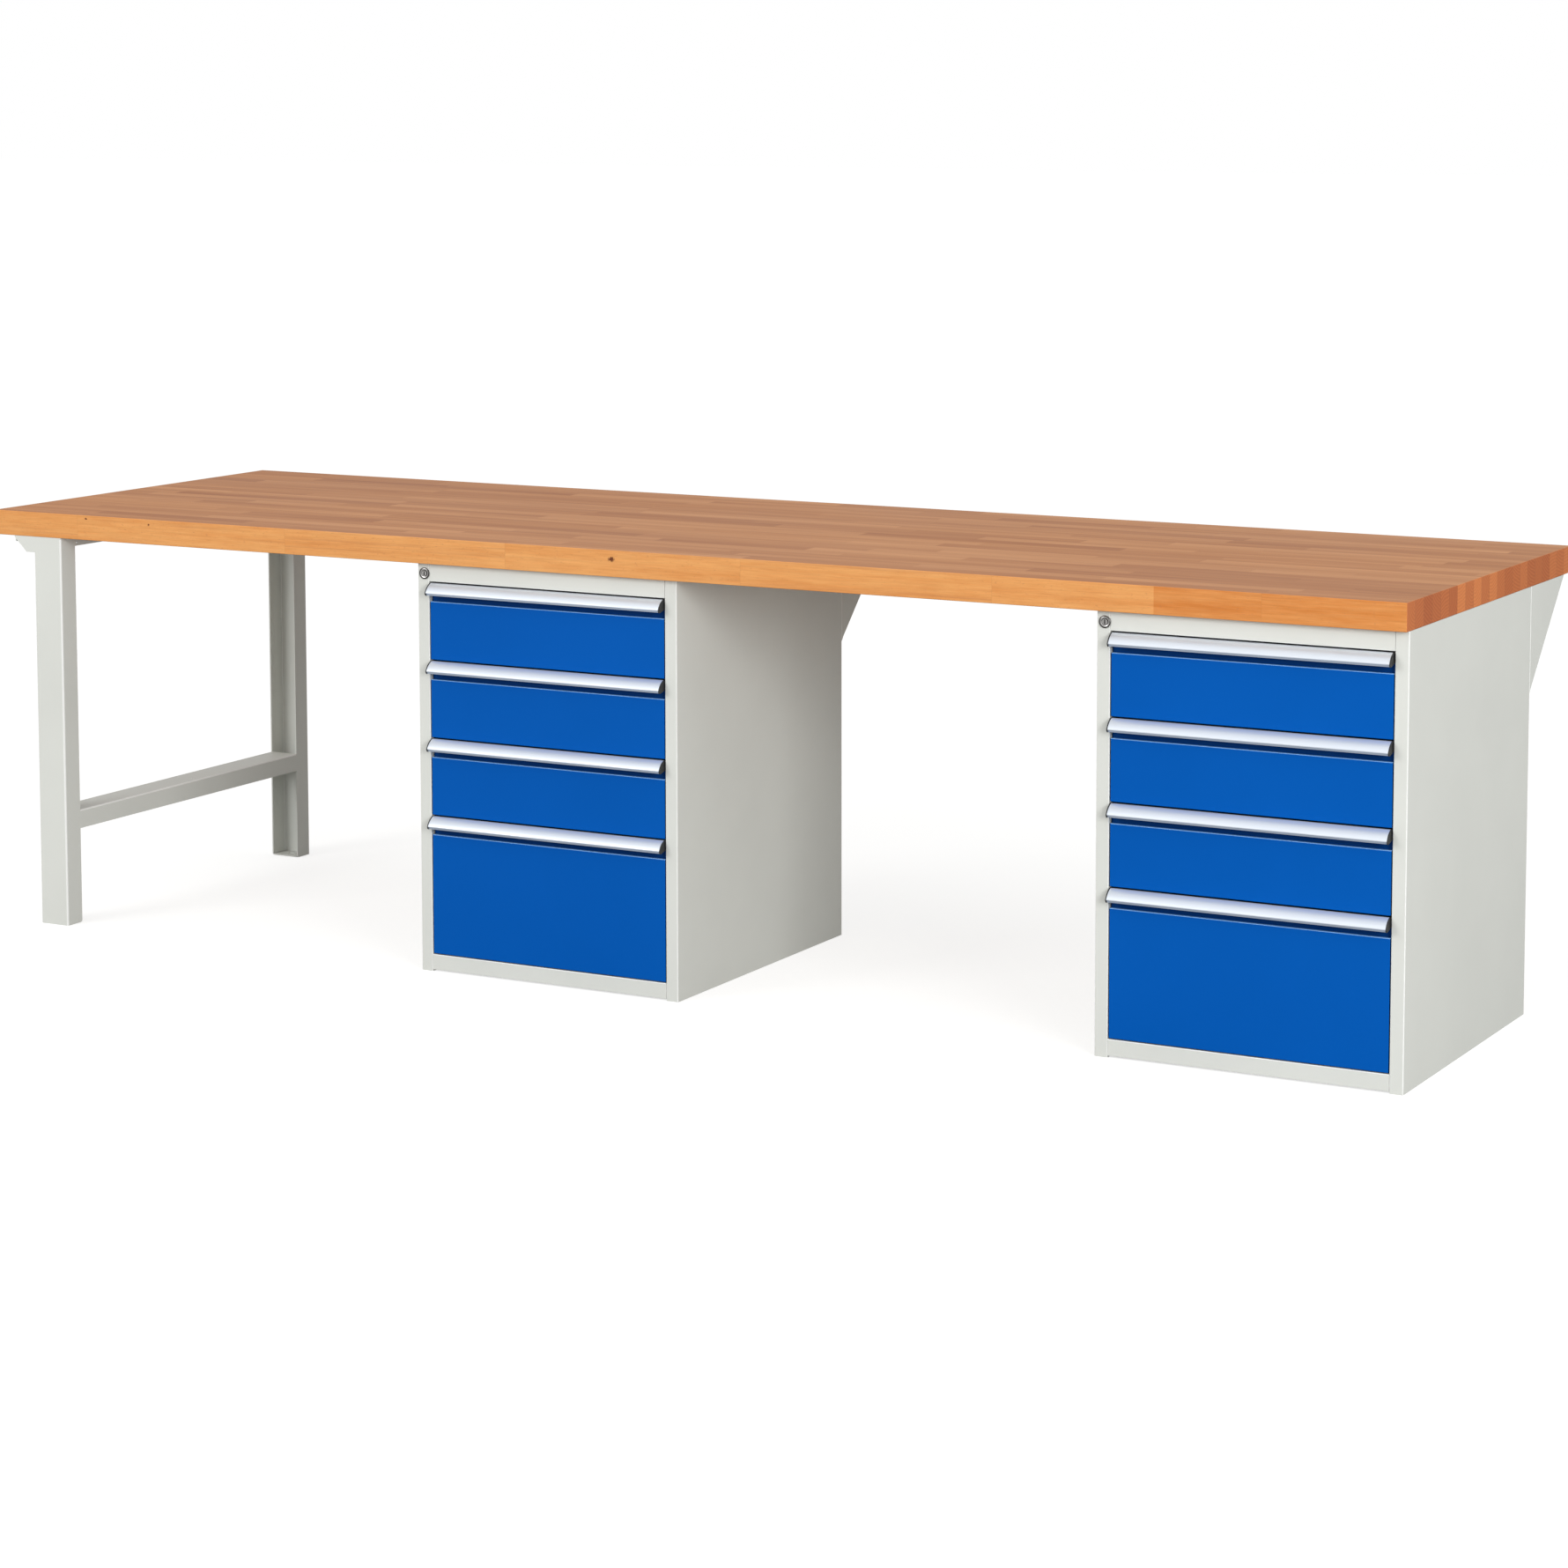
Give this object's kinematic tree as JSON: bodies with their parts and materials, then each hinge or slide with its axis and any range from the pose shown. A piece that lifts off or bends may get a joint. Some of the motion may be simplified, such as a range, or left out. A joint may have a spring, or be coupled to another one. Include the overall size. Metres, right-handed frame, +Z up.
{
  "type": "workbench with drawers",
  "caption": "Long industrial workbench: thick beech top on a steel leg frame at one end and two grey cabinets with blue drawers and aluminium grips.",
  "frame": {"origin": "on the floor, under the middle of the bench's outline (grips included)", "axes": "+X along the bench towards the cabinets' end, +Y to the back, +Z up"},
  "size_m": [3, 0.903, 0.84],
  "materials": {
    "beech": "oiled glued beech staves",
    "grey_steel": "light grey powder coat, fine texture, satin",
    "blue_steel": "gentian blue powder coat, satin",
    "satin_aluminium": "satin anodised",
    "zinc": "bright zinc plate",
    "lock_chrome": "nickel plate"
  },
  "bodies": {
    "bench": {"worktop": "beech", "worktop_screws": "zinc", "leg_front": "grey_steel", "leg_rear": "grey_steel", "leg_foot_plates": "grey_steel", "leg_cross_rail": "grey_steel", "leg_bearer": "grey_steel", "left_side_left": "grey_steel", "left_side_right": "grey_steel", "left_back": "grey_steel", "left_lid": "grey_steel", "left_base": "grey_steel", "left_gusset": "grey_steel", "left_fixed_rails": "zinc", "left_lock_barrel": "lock_chrome", "right_side_left": "grey_steel", "right_side_right": "grey_steel", "right_back": "grey_steel", "right_lid": "grey_steel", "right_base": "grey_steel", "right_gusset": "grey_steel", "right_fixed_rails": "zinc", "right_lock_barrel": "lock_chrome"},
    "left_lock": {"left_lock_plug": "lock_chrome"},
    "left_lock_rod": {"left_lock_bar": "zinc"},
    "left_drawer_1": {"left_drawer_1_front": "blue_steel", "left_drawer_1_tray": "grey_steel", "left_drawer_1_grip": "satin_aluminium"},
    "left_runners_1": {"left_drawer_1_mid_rails": "zinc"},
    "left_drawer_2": {"left_drawer_2_front": "blue_steel", "left_drawer_2_tray": "grey_steel", "left_drawer_2_grip": "satin_aluminium"},
    "left_runners_2": {"left_drawer_2_mid_rails": "zinc"},
    "left_drawer_3": {"left_drawer_3_front": "blue_steel", "left_drawer_3_tray": "grey_steel", "left_drawer_3_grip": "satin_aluminium"},
    "left_runners_3": {"left_drawer_3_mid_rails": "zinc"},
    "left_drawer_4": {"left_drawer_4_front": "blue_steel", "left_drawer_4_tray": "grey_steel", "left_drawer_4_grip": "satin_aluminium"},
    "left_runners_4": {"left_drawer_4_mid_rails": "zinc"},
    "right_lock": {"right_lock_plug": "lock_chrome"},
    "right_lock_rod": {"right_lock_bar": "zinc"},
    "right_drawer_1": {"right_drawer_1_front": "blue_steel", "right_drawer_1_tray": "grey_steel", "right_drawer_1_grip": "satin_aluminium"},
    "right_runners_1": {"right_drawer_1_mid_rails": "zinc"},
    "right_drawer_2": {"right_drawer_2_front": "blue_steel", "right_drawer_2_tray": "grey_steel", "right_drawer_2_grip": "satin_aluminium"},
    "right_runners_2": {"right_drawer_2_mid_rails": "zinc"},
    "right_drawer_3": {"right_drawer_3_front": "blue_steel", "right_drawer_3_tray": "grey_steel", "right_drawer_3_grip": "satin_aluminium"},
    "right_runners_3": {"right_drawer_3_mid_rails": "zinc"},
    "right_drawer_4": {"right_drawer_4_front": "blue_steel", "right_drawer_4_tray": "grey_steel", "right_drawer_4_grip": "satin_aluminium"},
    "right_runners_4": {"right_drawer_4_mid_rails": "zinc"}
  },
  "joints": [
    {"name": "left_lock_turn", "type": "hinge", "parent": "bench", "child": "left_lock", "pos_m": [-0.4695, -0.4335, 0.77], "axis": [0, 1, 0], "range_deg": [0, 90]},
    {"name": "left_lock_lift", "type": "slide", "parent": "bench", "child": "left_lock_rod", "axis": [0, 0, 1], "range_m": [0, 0.008]},
    {"name": "left_drawer_1_slide", "type": "slide", "parent": "bench", "child": "left_drawer_1", "axis": [0, -1, 0], "range_m": [0, 0.55]},
    {"name": "left_runners_1_slide", "type": "slide", "parent": "bench", "child": "left_runners_1", "axis": [0, -1, 0], "range_m": [0, 0.275]},
    {"name": "left_drawer_2_slide", "type": "slide", "parent": "bench", "child": "left_drawer_2", "axis": [0, -1, 0], "range_m": [0, 0.55]},
    {"name": "left_runners_2_slide", "type": "slide", "parent": "bench", "child": "left_runners_2", "axis": [0, -1, 0], "range_m": [0, 0.275]},
    {"name": "left_drawer_3_slide", "type": "slide", "parent": "bench", "child": "left_drawer_3", "axis": [0, -1, 0], "range_m": [0, 0.55]},
    {"name": "left_runners_3_slide", "type": "slide", "parent": "bench", "child": "left_runners_3", "axis": [0, -1, 0], "range_m": [0, 0.275]},
    {"name": "left_drawer_4_slide", "type": "slide", "parent": "bench", "child": "left_drawer_4", "axis": [0, -1, 0], "range_m": [0, 0.55]},
    {"name": "left_runners_4_slide", "type": "slide", "parent": "bench", "child": "left_runners_4", "axis": [0, -1, 0], "range_m": [0, 0.275]},
    {"name": "right_lock_turn", "type": "hinge", "parent": "bench", "child": "right_lock", "pos_m": [0.9455, -0.4335, 0.77], "axis": [0, 1, 0], "range_deg": [0, 90]},
    {"name": "right_lock_lift", "type": "slide", "parent": "bench", "child": "right_lock_rod", "axis": [0, 0, 1], "range_m": [0, 0.008]},
    {"name": "right_drawer_1_slide", "type": "slide", "parent": "bench", "child": "right_drawer_1", "axis": [0, -1, 0], "range_m": [0, 0.55]},
    {"name": "right_runners_1_slide", "type": "slide", "parent": "bench", "child": "right_runners_1", "axis": [0, -1, 0], "range_m": [0, 0.275]},
    {"name": "right_drawer_2_slide", "type": "slide", "parent": "bench", "child": "right_drawer_2", "axis": [0, -1, 0], "range_m": [0, 0.55]},
    {"name": "right_runners_2_slide", "type": "slide", "parent": "bench", "child": "right_runners_2", "axis": [0, -1, 0], "range_m": [0, 0.275]},
    {"name": "right_drawer_3_slide", "type": "slide", "parent": "bench", "child": "right_drawer_3", "axis": [0, -1, 0], "range_m": [0, 0.55]},
    {"name": "right_runners_3_slide", "type": "slide", "parent": "bench", "child": "right_runners_3", "axis": [0, -1, 0], "range_m": [0, 0.275]},
    {"name": "right_drawer_4_slide", "type": "slide", "parent": "bench", "child": "right_drawer_4", "axis": [0, -1, 0], "range_m": [0, 0.55]},
    {"name": "right_runners_4_slide", "type": "slide", "parent": "bench", "child": "right_runners_4", "axis": [0, -1, 0], "range_m": [0, 0.275]}
  ],
  "couplings": [
    {"joint": "left_lock_turn", "follows": "left_lock_lift", "rad_per_m": 196.35},
    {"joint": "left_runners_1_slide", "follows": "left_drawer_1_slide", "ratio": 0.5},
    {"joint": "left_runners_2_slide", "follows": "left_drawer_2_slide", "ratio": 0.5},
    {"joint": "left_runners_3_slide", "follows": "left_drawer_3_slide", "ratio": 0.5},
    {"joint": "left_runners_4_slide", "follows": "left_drawer_4_slide", "ratio": 0.5},
    {"joint": "right_lock_turn", "follows": "right_lock_lift", "rad_per_m": 196.35},
    {"joint": "right_runners_1_slide", "follows": "right_drawer_1_slide", "ratio": 0.5},
    {"joint": "right_runners_2_slide", "follows": "right_drawer_2_slide", "ratio": 0.5},
    {"joint": "right_runners_3_slide", "follows": "right_drawer_3_slide", "ratio": 0.5},
    {"joint": "right_runners_4_slide", "follows": "right_drawer_4_slide", "ratio": 0.5}
  ]
}
